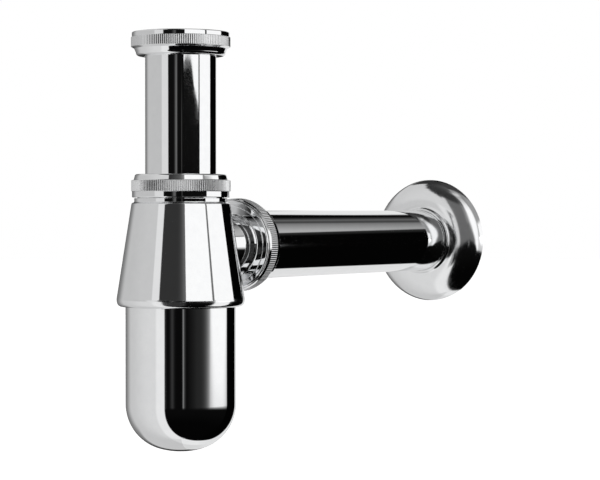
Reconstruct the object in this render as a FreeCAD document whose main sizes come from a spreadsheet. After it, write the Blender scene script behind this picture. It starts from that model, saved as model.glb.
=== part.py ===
import FreeCAD, Part
import math
import os

import Sketcher

# Bottle trap for a wash basin, in millimetres.
# +Z runs up the inlet pipe and +Y runs along the outlet pipe to the wall.
# The origin is the middle of the inlet washer's upper face, where the basin waste seats.

DIMS = [
    # pipes
    ("pipe_radius", 16.0),
    ("pipe_bore", 15.0),
    ("pipe_deburr", 0.25),
    ("pipe_clear", 16.3),
    # inlet nut, heights from its lower face
    ("inlet_nut_height", 10.7),
    ("inlet_nut_lip", 1.4),
    ("inlet_nut_foot", 18.7),
    ("inlet_nut_round", 1.4),
    ("inlet_nut_skirt_low", 20.1),
    ("inlet_nut_skirt_high", 20.9),
    ("inlet_nut_skirt_top", 3.3),
    ("inlet_nut_knurl_low", 3.9),
    ("inlet_nut_knurl_high", 8.6),
    ("inlet_nut_seat_radius", 18.75),
    ("inlet_nut_seat_top", 4.75),
    ("inlet_thread_core", 19.48),
    ("inlet_thread_lead", 0.4),
    ("inlet_nut_edge", 0.5),
    ("inlet_nut_base", -4.7),
    # straight knurl, the same on all three nuts but a little smaller at the outlet
    ("knurl_root", 21.95),
    ("knurl_height", 0.4),
    ("knurl_lead", 0.25),
    ("knurl_teeth", 140),
    ("knurl_cut_reach", 0.8),
    ("knurl_cut_half", 0.84),
    # inlet washer and flanged inlet pipe
    ("washer_bore", 15.2),
    ("washer_radius", 18.4),
    ("washer_height", 2.0),
    ("flange_radius", 18.45),
    ("flange_height", 1.3),
    ("inlet_pipe_length", 151.0),
    # slip nut used at the neck and at the outlet, heights from the end nearest the body
    ("slip_nut_height", 10.45),
    ("slip_nut_lip", 1.8),
    ("slip_nut_knurl_low", 2.65),
    ("slip_nut_knurl_high", 7.8),
    ("slip_nut_shoulder", 21.2),
    ("slip_nut_shoulder_rise", 0.1),
    ("slip_nut_crown", 20.75),
    ("slip_nut_crown_rise", 9.6),
    ("slip_nut_crown_round", 1.0),
    ("slip_nut_top", 19.75),
    ("slip_nut_edge", 0.3),
    ("slip_nut_thread", 20.35),
    ("slip_nut_thread_top", 6.9),
    ("slip_nut_relief", 19.95),
    ("slip_nut_lead", 0.5),
    ("neck_nut_base", -68.25),
    ("outlet_nut_base", 40.4),
    ("outlet_nut_root", 21.45),
    ("outlet_nut_knurl_low", 1.45),
    ("outlet_nut_knurl_high", 6.45),
    # slip ring and cone seal
    ("slip_ring_radius", 19.7),
    ("slip_ring_height", 0.9),
    ("seal_bore", 16.05),
    ("seal_toe", 16.9),
    ("seal_cone", 18.85),
    ("seal_cone_rise", 3.7),
    ("seal_head_gap", 0.05),
    ("seal_head", 19.6),
    ("seal_height", 4.8),
    # body casting, heights from its lower face
    ("body_base", -117.3),
    ("body_foot", 27.05),
    ("body_foot_round", 2.1),
    ("body_cone_low", 29.15),
    ("body_cone_high", 22.2),
    ("body_cone_top", 46.3),
    ("body_collar_radius", 20.95),
    ("body_collar_low", 47.0),
    ("body_collar_high", 48.7),
    ("body_thread", 20.05),
    ("body_thread_lead", 0.3),
    ("body_height", 55.7),
    ("body_skirt_bore", 25.1),
    ("body_skirt_lead", 0.4),
    ("body_seat_rise", 9.8),
    ("body_seat_bore", 22.4),
    ("body_seat_lip", 1.2),
    ("body_room_low", 25.4),
    ("body_room_low_rise", 14.0),
    ("body_room_high", 20.6),
    ("body_room_high_rise", 44.5),
    ("body_room_top", 46.6),
    ("cone_seat_toe", 16.9),
    ("cone_seat_mouth", 19.0),
    ("cone_seat_depth", 4.0),
    # outlet branch of the body, distances from the inlet axis
    ("outlet_rise", 27.0),
    ("branch_start", 10.0),
    ("branch_root", 13.3),
    ("branch_radius", 14.4),
    ("branch_bore", 12.8),
    ("branch_fillet", 1.0),
    ("branch_back", 39.3),
    ("branch_flange", 20.9),
    ("branch_flange_round", 0.45),
    ("branch_flange_front", 40.05),
    ("branch_mouth", 47.05),
    ("socket_stop", 40.6),
    ("socket_bore", 16.4),
    # cup, heights from its lowest point
    ("cup_base", -182.6),
    ("cup_radius", 24.93),
    ("cup_wall", 1.6),
    ("cup_side_round", 21.0),
    ("cup_bottom_round", 36.0),
    ("cup_neck_low", 65.4),
    ("cup_neck_rise", 65.6),
    ("cup_neck", 24.8),
    ("cup_lead", 0.3),
    ("cup_height", 73.6),
    ("cup_seal_bore", 22.5),
    ("cup_seal_radius", 24.6),
    ("cup_seal_height", 1.5),
    # outlet pipe and wall flange, distances along the outlet
    ("outlet_pipe_start", 41.0),
    ("outlet_pipe_length", 212.5),
    ("depth_mark_low", 190.3),
    ("depth_mark_high", 191.1),
    ("depth_mark_radius", 15.8),
    ("outlet_pipe_lead", 0.5),
    ("wall_flange_start", 216.7),
    ("wall_flange_depth", 11.8),
    ("wall_flange_bore", 16.06),
    ("wall_flange_neck", 17.2),
    ("wall_flange_edge", 0.3),
    ("wall_flange_neck_low", 1.3),
    ("wall_flange_fillet", 0.8),
    ("wall_flange_sheet", 1.0),
    ("wall_flange_crown_round", 18.0),
    ("wall_flange_crown_centre", 17.3),
    ("wall_flange_rim_round", 10.0),
    ("wall_flange_rim_centre", 22.61),
]
VALUE = dict(DIMS)


def tangent_pair(x_big, y_big, r_big, x_small, r_small):
    """Two arcs that touch from inside: the small one's centre height, and the direction to the point they share."""
    dx = x_small - x_big
    rise = math.sqrt((r_big - r_small) ** 2 - dx * dx)
    return rise, dx / (r_big - r_small), rise / (r_big - r_small)


# cup: a wide bottom arc on the axis runs into a side arc that ends upright at the cup's radius
_cup_rise, _cu, _cw = tangent_pair(
    0, 0, VALUE["cup_bottom_round"], VALUE["cup_radius"] - VALUE["cup_side_round"], VALUE["cup_side_round"]
)
_cup_in = VALUE["cup_bottom_round"] - VALUE["cup_wall"]
DIMS += [
    ("cup_side_rise", VALUE["cup_bottom_round"] - _cup_rise),
    ("cup_turn_radius", _cu * VALUE["cup_bottom_round"]),
    ("cup_turn_rise", VALUE["cup_bottom_round"] * (1 - _cw)),
    ("cup_turn_radius_inside", _cu * _cup_in),
    ("cup_turn_rise_inside", VALUE["cup_bottom_round"] - _cw * _cup_in),
]

# wall flange: a wide crown arc runs into a tighter rim arc, cut off at the wall
_flat = VALUE["wall_flange_neck_low"] + VALUE["wall_flange_fillet"]
_big = VALUE["wall_flange_crown_round"]
_small = VALUE["wall_flange_rim_round"]
_sheet = VALUE["wall_flange_sheet"]
_crown = VALUE["wall_flange_crown_centre"]
_fl_rise, _fu, _fw = tangent_pair(_crown, 0, _big, VALUE["wall_flange_rim_centre"], _small)
_crown_off = VALUE["wall_flange_neck"] + VALUE["wall_flange_fillet"] - _crown
_crown_z = _flat + math.sqrt(_big**2 - _crown_off**2)
_rim_z = _crown_z - _fl_rise
_below = VALUE["wall_flange_depth"] - _rim_z
DIMS += [
    ("wall_flange_turn_radius", _crown + _fu * _big),
    ("wall_flange_turn_depth", _crown_z - _fw * _big),
    ("wall_flange_turn_radius_inside", _crown + _fu * (_big - _sheet)),
    ("wall_flange_turn_depth_inside", _crown_z - _fw * (_big - _sheet)),
    ("wall_flange_back", _crown_z - math.sqrt((_big - _sheet) ** 2 - _crown_off**2)),
    ("wall_flange_rim", VALUE["wall_flange_rim_centre"] + math.sqrt(_small**2 - _below**2)),
    ("wall_flange_rim_inside", VALUE["wall_flange_rim_centre"] + math.sqrt((_small - _sheet) ** 2 - _below**2)),
]
VALUE = dict(DIMS)

os.makedirs("parts", exist_ok=True)
doc = FreeCAD.newDocument("bottle_trap")
sheet = doc.addObject("Spreadsheet::Sheet", "Dims")
for row, (alias, value) in enumerate(DIMS, start=1):
    sheet.set("A%d" % row, alias)
    sheet.set("B%d" % row, repr(round(value, 5)))
    sheet.setAlias("B%d" % row, alias)
doc.recompute()


class Size:
    """A length that knows its present value and the expression that drives it."""

    def __init__(self, value, text):
        self.value = value
        self.text = text

    @staticmethod
    def of(x):
        return x if isinstance(x, Size) else Size(float(x), repr(float(x)))

    def __add__(self, other):
        other = Size.of(other)
        return Size(self.value + other.value, "(%s + %s)" % (self.text, other.text))

    def __sub__(self, other):
        other = Size.of(other)
        return Size(self.value - other.value, "(%s - %s)" % (self.text, other.text))

    def __mul__(self, other):
        other = Size.of(other)
        return Size(self.value * other.value, "(%s * %s)" % (self.text, other.text))


def d(alias):
    return Size(round(VALUE[alias], 5), "Dims." + alias)


ZERO = Size(0.0, "0")
SUB_PARTS = []


def origin_of(body, role):
    for feature in body.Origin.OriginFeatures:
        if feature.Role == role:
            return feature
    raise RuntimeError("no " + role)


def make_body(label, position, along_outlet=False):
    """A body at a position given as three sizes. Along the outlet, its own Z is turned to +Y."""
    body = doc.addObject("PartDesign::Body", label)
    body.Label = label
    turn = FreeCAD.Rotation(FreeCAD.Vector(1, 0, 0), -90 if along_outlet else 0)
    body.Placement = FreeCAD.Placement(FreeCAD.Vector(*[p.value for p in position]), turn)
    for axis, p in zip("xyz", position):
        if p is not ZERO:
            body.setExpression("Placement.Base." + axis, p.text)
    SUB_PARTS.append(body)
    return body


def profile(body, name, role, corners, lift=None):
    """A closed sketch. Each corner is (x, y) or (x, y, radius, side), where the edge that leaves it is then an arc:
    side +1 has the arc's centre on the left of the way round, -1 on the right."""
    sketch = body.newObject("Sketcher::SketchObject", name)
    sketch.AttachmentSupport = [(origin_of(body, role), "")]
    sketch.MapMode = "FlatFace"
    if lift is not None:
        axis, size = lift
        base = FreeCAD.Vector(*[size.value if axis == a else 0.0 for a in "xyz"])
        sketch.AttachmentOffset = FreeCAD.Placement(base, FreeCAD.Rotation())
        sketch.setExpression("AttachmentOffset.Base." + axis, size.text)
    n = len(corners)
    edges = []
    for i, corner in enumerate(corners):
        x0, y0 = corner[0].value, corner[1].value
        x1, y1 = corners[(i + 1) % n][0].value, corners[(i + 1) % n][1].value
        start, end = FreeCAD.Vector(x0, y0, 0), FreeCAD.Vector(x1, y1, 0)
        if len(corner) == 2:
            edges.append((sketch.addGeometry(Part.LineSegment(start, end)), 1, 2, None))
            continue
        radius, side = corner[2], corner[3]
        chord = end - start
        mid = (start + end) * 0.5
        left = FreeCAD.Vector(-chord.y, chord.x, 0)
        left.normalize()
        height = math.sqrt(max(radius.value**2 - (chord.Length / 2) ** 2, 0.0))
        centre = mid + left * (height * side)
        a0 = math.atan2(start.y - centre.y, start.x - centre.x)
        a1 = math.atan2(end.y - centre.y, end.x - centre.x)
        circle = Part.Circle(centre, FreeCAD.Vector(0, 0, 1), radius.value)
        if side > 0:
            edges.append((sketch.addGeometry(Part.ArcOfCircle(circle, a0, a1)), 1, 2, radius))
        else:
            edges.append((sketch.addGeometry(Part.ArcOfCircle(circle, a1, a0)), 2, 1, radius))
    for i in range(n):
        geo, first, last, radius = edges[i]
        nxt = edges[(i + 1) % n]
        sketch.addConstraint(Sketcher.Constraint("Coincident", geo, last, nxt[0], nxt[1]))
    for i in range(n):
        geo, first, last, radius = edges[i]
        for kind, size, line, tag in (
            ("DistanceX", corners[i][0], -2, "x%d" % i),
            ("DistanceY", corners[i][1], -1, "y%d" % i),
        ):
            if size is ZERO:
                sketch.addConstraint(Sketcher.Constraint("PointOnObject", geo, first, line))
            else:
                k = sketch.addConstraint(Sketcher.Constraint(kind, -1, 1, geo, first, size.value))
                sketch.renameConstraint(k, tag)
                sketch.setExpression("Constraints." + tag, size.text)
        if radius is not None:
            k = sketch.addConstraint(Sketcher.Constraint("Radius", geo, radius.value))
            sketch.renameConstraint(k, "arc%d" % i)
            sketch.setExpression("Constraints.arc%d" % i, radius.text)
    return sketch


def revolve(body, name, sketch, axis="V_Axis", kind="PartDesign::Revolution"):
    feature = body.newObject(kind, name)
    feature.Profile = sketch
    feature.ReferenceAxis = (sketch, [axis])
    feature.Angle = 360.0
    sketch.Visibility = False
    doc.recompute()
    return feature


def lathe(label, position, corners, along_outlet=False):
    body = make_body(label, position, along_outlet)
    revolve(body, label + "_turned", profile(body, label + "_section", "XZ_Plane", corners))
    return body


def knurl(body, low, high, root):
    """Straight V-grooves, down to the root radius, round the proud band between two heights."""
    before = body.Shape.Volume
    section = body.newObject("Sketcher::SketchObject", body.Label + "_groove")
    section.AttachmentSupport = [(origin_of(body, "XY_Plane"), "")]
    section.MapMode = "FlatFace"
    section.AttachmentOffset = FreeCAD.Placement(FreeCAD.Vector(0, 0, low.value), FreeCAD.Rotation())
    section.setExpression("AttachmentOffset.Base.z", low.text)
    out, half = root + d("knurl_cut_reach"), d("knurl_cut_half")
    tip = FreeCAD.Vector(root.value, 0, 0)
    far = FreeCAD.Vector(out.value, half.value, 0)
    near = FreeCAD.Vector(out.value, -half.value, 0)
    a = section.addGeometry(Part.LineSegment(tip, near))
    b = section.addGeometry(Part.LineSegment(near, far))
    c = section.addGeometry(Part.LineSegment(far, tip))
    section.addConstraint(Sketcher.Constraint("Coincident", a, 2, b, 1))
    section.addConstraint(Sketcher.Constraint("Coincident", b, 2, c, 1))
    section.addConstraint(Sketcher.Constraint("Coincident", c, 2, a, 1))
    section.addConstraint(Sketcher.Constraint("PointOnObject", a, 1, -1))
    section.addConstraint(Sketcher.Constraint("Symmetric", b, 1, b, 2, -1))
    for tag, kind, args, size in (
        ("root", "DistanceX", (-1, 1, a, 1), root),
        ("reach", "DistanceX", (-1, 1, c, 1), out),
        ("half", "DistanceY", (-1, 1, c, 1), half),
    ):
        k = section.addConstraint(Sketcher.Constraint(kind, *args, size.value))
        section.renameConstraint(k, tag)
        section.setExpression("Constraints." + tag, size.text)
    pocket = body.newObject("PartDesign::Pocket", body.Label + "_tooth_gap")
    pocket.Profile = section
    pocket.Length = high.value - low.value
    pocket.setExpression("Length", (high - low).text)
    pocket.Reversed = True
    section.Visibility = False
    doc.recompute()
    if not pocket.Shape.Volume < before - 1e-3:
        raise RuntimeError("the knurl groove removed nothing on " + body.Label)
    ring = body.newObject("PartDesign::PolarPattern", body.Label + "_knurl")
    ring.Originals = [pocket]
    ring.Axis = (origin_of(body, "Z_Axis"), [""])
    ring.Angle = 360.0
    ring.Occurrences = int(VALUE["knurl_teeth"])
    ring.setExpression("Occurrences", "Dims.knurl_teeth")
    body.Tip = ring
    doc.recompute()
    one = before - pocket.Shape.Volume
    if abs((before - ring.Shape.Volume) / one - VALUE["knurl_teeth"]) > 1.0:
        raise RuntimeError("the knurl pattern is not whole on " + body.Label)


# ---------------------------------------------------------------- inlet
inlet_nut = lathe(
    "inlet_nut",
    (ZERO, ZERO, d("inlet_nut_base")),
    [
        (d("pipe_clear"), ZERO),
        (d("inlet_nut_foot"), ZERO, d("inlet_nut_round"), 1),
        (d("inlet_nut_skirt_low"), d("inlet_nut_round")),
        (d("inlet_nut_skirt_high"), d("inlet_nut_skirt_top")),
        (d("knurl_root"), d("inlet_nut_knurl_low")),
        (d("knurl_root") + d("knurl_height"), d("inlet_nut_knurl_low") + d("knurl_lead")),
        (d("knurl_root") + d("knurl_height"), d("inlet_nut_knurl_high") - d("knurl_lead")),
        (d("knurl_root"), d("inlet_nut_knurl_high")),
        (d("knurl_root"), d("inlet_nut_height") - d("inlet_nut_edge"), d("inlet_nut_edge"), 1),
        (d("knurl_root") - d("inlet_nut_edge"), d("inlet_nut_height")),
        (d("inlet_thread_core") + d("inlet_thread_lead"), d("inlet_nut_height")),
        (d("inlet_thread_core"), d("inlet_nut_height") - d("inlet_thread_lead")),
        (d("inlet_thread_core"), d("inlet_nut_seat_top")),
        (d("inlet_nut_seat_radius"), d("inlet_nut_seat_top")),
        (d("inlet_nut_seat_radius"), d("inlet_nut_lip")),
        (d("pipe_clear"), d("inlet_nut_lip")),
    ],
)
knurl(inlet_nut, d("inlet_nut_knurl_low"), d("inlet_nut_knurl_high"), d("knurl_root"))

lathe(
    "inlet_washer",
    (ZERO, ZERO, ZERO - d("washer_height")),
    [
        (d("washer_bore"), ZERO),
        (d("washer_radius"), ZERO),
        (d("washer_radius"), d("washer_height")),
        (d("washer_bore"), d("washer_height")),
    ],
)

# flanged pipe that reaches down into the cup and keeps the water seal
lathe(
    "inlet_pipe",
    (ZERO, ZERO, ZERO - d("washer_height") - d("inlet_pipe_length")),
    [
        (d("pipe_bore") + d("pipe_deburr"), ZERO),
        (d("pipe_radius") - d("pipe_deburr"), ZERO),
        (d("pipe_radius"), d("pipe_deburr")),
        (d("pipe_radius"), d("inlet_pipe_length") - d("flange_height")),
        (d("flange_radius"), d("inlet_pipe_length") - d("flange_height")),
        (d("flange_radius"), d("inlet_pipe_length")),
        (d("pipe_bore") + d("pipe_deburr"), d("inlet_pipe_length")),
        (d("pipe_bore"), d("inlet_pipe_length") - d("pipe_deburr")),
        (d("pipe_bore"), d("pipe_deburr")),
    ],
)


# ---------------------------------------------------------------- slip joints
def slip_nut(label, position, along_outlet, root, low, high):
    body = lathe(
        label,
        position,
        [
            (d("slip_nut_thread") + d("slip_nut_lead"), ZERO),
            (root - d("slip_nut_edge"), ZERO, d("slip_nut_edge"), 1),
            (root, d("slip_nut_edge")),
            (root, low),
            (root + d("knurl_height"), low + d("knurl_lead")),
            (root + d("knurl_height"), high - d("knurl_lead")),
            (root, high),
            (d("slip_nut_shoulder"), high + d("slip_nut_shoulder_rise")),
            (d("slip_nut_crown"), d("slip_nut_crown_rise"), d("slip_nut_crown_round"), 1),
            (d("slip_nut_top"), d("slip_nut_height")),
            (d("pipe_clear") + d("slip_nut_edge"), d("slip_nut_height")),
            (d("pipe_clear"), d("slip_nut_height") - d("slip_nut_edge")),
            (d("pipe_clear"), d("slip_nut_height") - d("slip_nut_lip")),
            (d("slip_nut_relief"), d("slip_nut_height") - d("slip_nut_lip")),
            (d("slip_nut_relief"), d("slip_nut_thread_top") + d("slip_nut_lead")),
            (d("slip_nut_thread"), d("slip_nut_thread_top")),
            (d("slip_nut_thread"), d("slip_nut_lead")),
        ],
        along_outlet,
    )
    knurl(body, low, high, root)


def slip_ring(label, position, along_outlet):
    lathe(
        label,
        position,
        [
            (d("pipe_clear"), ZERO),
            (d("slip_ring_radius"), ZERO),
            (d("slip_ring_radius"), d("slip_ring_height")),
            (d("pipe_clear"), d("slip_ring_height")),
        ],
        along_outlet,
    )


def cone_seal(label, position, along_outlet):
    lathe(
        label,
        position,
        [
            (d("seal_bore"), ZERO),
            (d("seal_toe"), ZERO),
            (d("seal_cone"), d("seal_cone_rise")),
            (d("seal_cone"), d("seal_cone_rise") + d("seal_head_gap")),
            (d("seal_head"), d("seal_cone_rise") + d("seal_head_gap")),
            (d("seal_head"), d("seal_height")),
            (d("seal_bore"), d("seal_height")),
        ],
        along_outlet,
    )


neck_ring = d("neck_nut_base") + d("slip_nut_height") - d("slip_nut_lip") - d("slip_ring_height")
slip_nut(
    "neck_nut",
    (ZERO, ZERO, d("neck_nut_base")),
    False,
    d("knurl_root"),
    d("slip_nut_knurl_low"),
    d("slip_nut_knurl_high"),
)
slip_ring("neck_slip_ring", (ZERO, ZERO, neck_ring), False)
cone_seal("neck_seal", (ZERO, ZERO, neck_ring - d("seal_height")), False)

outlet_z = d("body_base") + d("outlet_rise")
outlet_ring = d("outlet_nut_base") + d("slip_nut_height") - d("slip_nut_lip") - d("slip_ring_height")
slip_nut(
    "outlet_nut",
    (ZERO, d("outlet_nut_base"), outlet_z),
    True,
    d("outlet_nut_root"),
    d("outlet_nut_knurl_low"),
    d("outlet_nut_knurl_high"),
)
slip_ring("outlet_slip_ring", (ZERO, outlet_ring, outlet_z), True)
cone_seal("outlet_seal", (ZERO, outlet_ring - d("seal_height"), outlet_z), True)

# ---------------------------------------------------------------- body casting
body = make_body("trap_body", (ZERO, ZERO, d("body_base")))
revolve(
    body,
    "body_outside",
    profile(
        body,
        "body_outside_section",
        "XZ_Plane",
        [
            (ZERO, ZERO),
            (d("body_foot"), ZERO, d("body_foot_round"), 1),
            (d("body_cone_low"), d("body_foot_round")),
            (d("body_cone_high"), d("body_cone_top")),
            (d("body_collar_radius"), d("body_collar_low")),
            (d("body_collar_radius"), d("body_collar_high")),
            (d("body_thread"), d("body_collar_high")),
            (d("body_thread"), d("body_height") - d("body_thread_lead")),
            (d("body_thread") - d("body_thread_lead"), d("body_height")),
            (ZERO, d("body_height")),
        ],
    ),
)
revolve(
    body,
    "branch_outside",
    profile(
        body,
        "branch_outside_section",
        "YZ_Plane",
        [
            (d("branch_start"), ZERO),
            (d("branch_mouth"), ZERO),
            (d("branch_mouth"), d("body_thread") - d("body_thread_lead")),
            (d("branch_mouth") - d("body_thread_lead"), d("body_thread")),
            (d("branch_flange_front"), d("body_thread")),
            (d("branch_flange_front"), d("branch_flange")),
            (d("branch_back") + d("branch_flange_round"), d("branch_flange"), d("branch_flange_round"), 1),
            (d("branch_back"), d("branch_flange") - d("branch_flange_round")),
            (d("branch_back"), d("branch_radius") + d("branch_fillet"), d("branch_fillet"), -1),
            (d("branch_back") - d("branch_fillet"), d("branch_radius")),
            (d("branch_start"), d("branch_root")),
        ],
        ("y", d("outlet_rise")),
    ),
    "H_Axis",
)
solid_volume = body.Shape.Volume
revolve(
    body,
    "body_room",
    profile(
        body,
        "body_room_section",
        "XZ_Plane",
        [
            (ZERO, ZERO),
            (d("body_skirt_bore") + d("body_skirt_lead"), ZERO),
            (d("body_skirt_bore"), d("body_skirt_lead")),
            (d("body_skirt_bore"), d("body_seat_rise")),
            (d("body_seat_bore"), d("body_seat_rise")),
            (d("body_seat_bore"), d("body_seat_rise") + d("body_seat_lip")),
            (d("body_room_low"), d("body_room_low_rise")),
            (d("body_room_high"), d("body_room_high_rise")),
            (d("cone_seat_toe"), d("body_room_top")),
            (d("cone_seat_toe"), d("body_height") - d("cone_seat_depth")),
            (d("cone_seat_mouth"), d("body_height")),
            (ZERO, d("body_height")),
        ],
    ),
    "V_Axis",
    "PartDesign::Groove",
)
revolve(
    body,
    "branch_room",
    profile(
        body,
        "branch_room_section",
        "YZ_Plane",
        [
            (d("branch_start"), ZERO),
            (d("branch_mouth"), ZERO),
            (d("branch_mouth"), d("cone_seat_mouth")),
            (d("branch_mouth") - d("cone_seat_depth"), d("cone_seat_toe")),
            (d("branch_mouth") - d("cone_seat_depth"), d("socket_bore")),
            (d("socket_stop"), d("socket_bore")),
            (d("socket_stop"), d("branch_bore")),
            (d("branch_start"), d("branch_bore")),
        ],
        ("y", d("outlet_rise")),
    ),
    "H_Axis",
    "PartDesign::Groove",
)
if not body.Shape.Volume < 0.6 * solid_volume:
    raise RuntimeError("the body casting is not hollow")

# ---------------------------------------------------------------- cup
lathe(
    "cup",
    (ZERO, ZERO, d("cup_base")),
    [
        (ZERO, ZERO, d("cup_bottom_round"), 1),
        (d("cup_turn_radius"), d("cup_turn_rise"), d("cup_side_round"), 1),
        (d("cup_radius"), d("cup_side_rise")),
        (d("cup_radius"), d("cup_neck_low")),
        (d("cup_neck"), d("cup_neck_rise")),
        (d("cup_neck"), d("cup_height") - d("cup_lead")),
        (d("cup_neck") - d("cup_lead"), d("cup_height")),
        (d("cup_radius") - d("cup_wall"), d("cup_height")),
        (d("cup_radius") - d("cup_wall"), d("cup_side_rise"), d("cup_side_round") - d("cup_wall"), -1),
        (d("cup_turn_radius_inside"), d("cup_turn_rise_inside"), d("cup_bottom_round") - d("cup_wall"), -1),
        (ZERO, d("cup_wall")),
    ],
)
lathe(
    "cup_seal",
    (ZERO, ZERO, d("cup_base") + d("cup_height")),
    [
        (d("cup_seal_bore"), ZERO),
        (d("cup_seal_radius"), ZERO),
        (d("cup_seal_radius"), d("cup_seal_height")),
        (d("cup_seal_bore"), d("cup_seal_height")),
    ],
)

# ---------------------------------------------------------------- outlet pipe and wall flange
lathe(
    "outlet_pipe",
    (ZERO, d("outlet_pipe_start"), outlet_z),
    [
        (d("pipe_bore") + d("pipe_deburr"), ZERO),
        (d("pipe_radius") - d("pipe_deburr"), ZERO),
        (d("pipe_radius"), d("pipe_deburr")),
        (d("pipe_radius"), d("depth_mark_low")),
        (d("depth_mark_radius"), d("depth_mark_low") + 0.2),
        (d("depth_mark_radius"), d("depth_mark_high") - 0.2),
        (d("pipe_radius"), d("depth_mark_high")),
        (d("pipe_radius"), d("outlet_pipe_length") - d("outlet_pipe_lead")),
        (d("pipe_radius") - d("outlet_pipe_lead"), d("outlet_pipe_length")),
        (d("pipe_bore") + d("pipe_deburr"), d("outlet_pipe_length")),
        (d("pipe_bore"), d("outlet_pipe_length") - d("pipe_deburr")),
        (d("pipe_bore"), d("pipe_deburr")),
    ],
    True,
)
flat = d("wall_flange_neck_low") + d("wall_flange_fillet")
lathe(
    "wall_flange",
    (ZERO, d("wall_flange_start"), outlet_z),
    [
        (d("wall_flange_bore"), ZERO),
        (d("wall_flange_neck") - d("wall_flange_edge"), ZERO, d("wall_flange_edge"), 1),
        (d("wall_flange_neck"), d("wall_flange_edge")),
        (d("wall_flange_neck"), d("wall_flange_neck_low"), d("wall_flange_fillet"), -1),
        (d("wall_flange_neck") + d("wall_flange_fillet"), flat, d("wall_flange_crown_round"), 1),
        (d("wall_flange_turn_radius"), d("wall_flange_turn_depth"), d("wall_flange_rim_round"), 1),
        (d("wall_flange_rim"), d("wall_flange_depth")),
        (d("wall_flange_rim_inside"), d("wall_flange_depth"), d("wall_flange_rim_round") - d("wall_flange_sheet"), -1),
        (
            d("wall_flange_turn_radius_inside"),
            d("wall_flange_turn_depth_inside"),
            d("wall_flange_crown_round") - d("wall_flange_sheet"),
            -1,
        ),
        (d("wall_flange_neck") + d("wall_flange_fillet"), d("wall_flange_back")),
        (d("wall_flange_bore"), d("wall_flange_back")),
    ],
    True,
)

# ---------------------------------------------------------------- checks and files
doc.recompute()
for obj in doc.Objects:
    if "Invalid" in obj.State or "Error" in obj.State:
        raise RuntimeError("%s is %s" % (obj.Label, obj.State))
    if obj.TypeId == "Sketcher::SketchObject" and obj.solve() != 0:
        raise RuntimeError("%s does not solve" % obj.Label)
for part in SUB_PARTS:
    shape = part.Shape
    if shape.isNull() or not shape.isValid() or len(shape.Solids) != 1:
        raise RuntimeError("%s has no single valid solid" % part.Label)
    shape.exportStep("parts/%s.step" % part.Label)
    box = shape.BoundBox
    print(
        "%-17s %8.1f mm3  x %7.2f %7.2f  y %7.2f %7.2f  z %7.2f %7.2f"
        % (part.Label, shape.Volume, box.XMin, box.XMax, box.YMin, box.YMax, box.ZMin, box.ZMax)
    )
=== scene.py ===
import math

import bpy
import numpy as np
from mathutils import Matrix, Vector


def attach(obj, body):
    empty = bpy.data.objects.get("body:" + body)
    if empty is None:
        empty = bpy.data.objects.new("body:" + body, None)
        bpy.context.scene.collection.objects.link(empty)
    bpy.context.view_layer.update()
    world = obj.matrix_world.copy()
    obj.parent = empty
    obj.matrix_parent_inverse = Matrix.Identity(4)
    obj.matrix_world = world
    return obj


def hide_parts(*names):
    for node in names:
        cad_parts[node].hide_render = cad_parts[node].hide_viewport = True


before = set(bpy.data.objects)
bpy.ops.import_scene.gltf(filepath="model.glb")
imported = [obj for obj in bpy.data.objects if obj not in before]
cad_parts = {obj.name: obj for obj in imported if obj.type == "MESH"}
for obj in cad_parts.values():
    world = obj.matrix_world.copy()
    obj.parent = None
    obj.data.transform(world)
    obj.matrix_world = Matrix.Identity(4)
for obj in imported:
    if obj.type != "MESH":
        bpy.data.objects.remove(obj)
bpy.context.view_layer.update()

# Chrome bottle trap: turned chrome pieces with real knurls and screw threads, rubber seals and plastic slip rings.
# Sections are given in millimetres in each piece's own heights and go into the frame in metres.

MM = 0.001
OUTLET_Z = -90.3
TAU = 2 * math.pi


# ------------------------------------------------------------------ materials
def new_material(name):
    mat = bpy.data.materials.new(name)
    mat.use_nodes = True
    tree = mat.node_tree
    return mat, tree, tree.nodes["Principled BSDF"]


def add(tree, kind, **values):
    node = tree.nodes.new(kind)
    for key, value in values.items():
        if key in node.inputs:
            node.inputs[key].default_value = value
        else:
            setattr(node, key, value)
    return node


def noise(tree, vector, scale, detail=3.0, roughness=0.5, stretch=None):
    if stretch is not None:
        place = add(tree, "ShaderNodeMapping")
        place.inputs["Scale"].default_value = stretch
        tree.links.new(vector, place.inputs["Vector"])
        vector = place.outputs["Vector"]
    tex = add(tree, "ShaderNodeTexNoise", Scale=scale, Detail=detail, Roughness=roughness)
    tree.links.new(vector, tex.inputs["Vector"])
    return tex.outputs["Fac"]


def spread(tree, fac, low, high, to_low, to_high):
    node = add(tree, "ShaderNodeMapRange")
    node.inputs["From Min"].default_value = low
    node.inputs["From Max"].default_value = high
    node.inputs["To Min"].default_value = to_low
    node.inputs["To Max"].default_value = to_high
    tree.links.new(fac, node.inputs["Value"])
    return node.outputs["Result"]


def ramp(tree, fac, stops):
    node = add(tree, "ShaderNodeValToRGB")
    bar = node.color_ramp.elements
    while len(bar) < len(stops):
        bar.new(0.5)
    for element, (at, colour) in zip(bar, stops):
        element.position = at
        element.color = (*colour, 1.0)
    tree.links.new(fac, node.inputs["Fac"])
    return node.outputs["Color"]


def bump(tree, height, distance, before=None, strength=1.0):
    node = add(tree, "ShaderNodeBump")
    node.inputs["Strength"].default_value = strength
    node.inputs["Distance"].default_value = distance
    tree.links.new(height, node.inputs["Height"])
    if before is not None:
        tree.links.new(before, node.inputs["Normal"])
    return node.outputs["Normal"]


def object_coords(tree):
    return add(tree, "ShaderNodeTexCoord").outputs["Object"]


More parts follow.
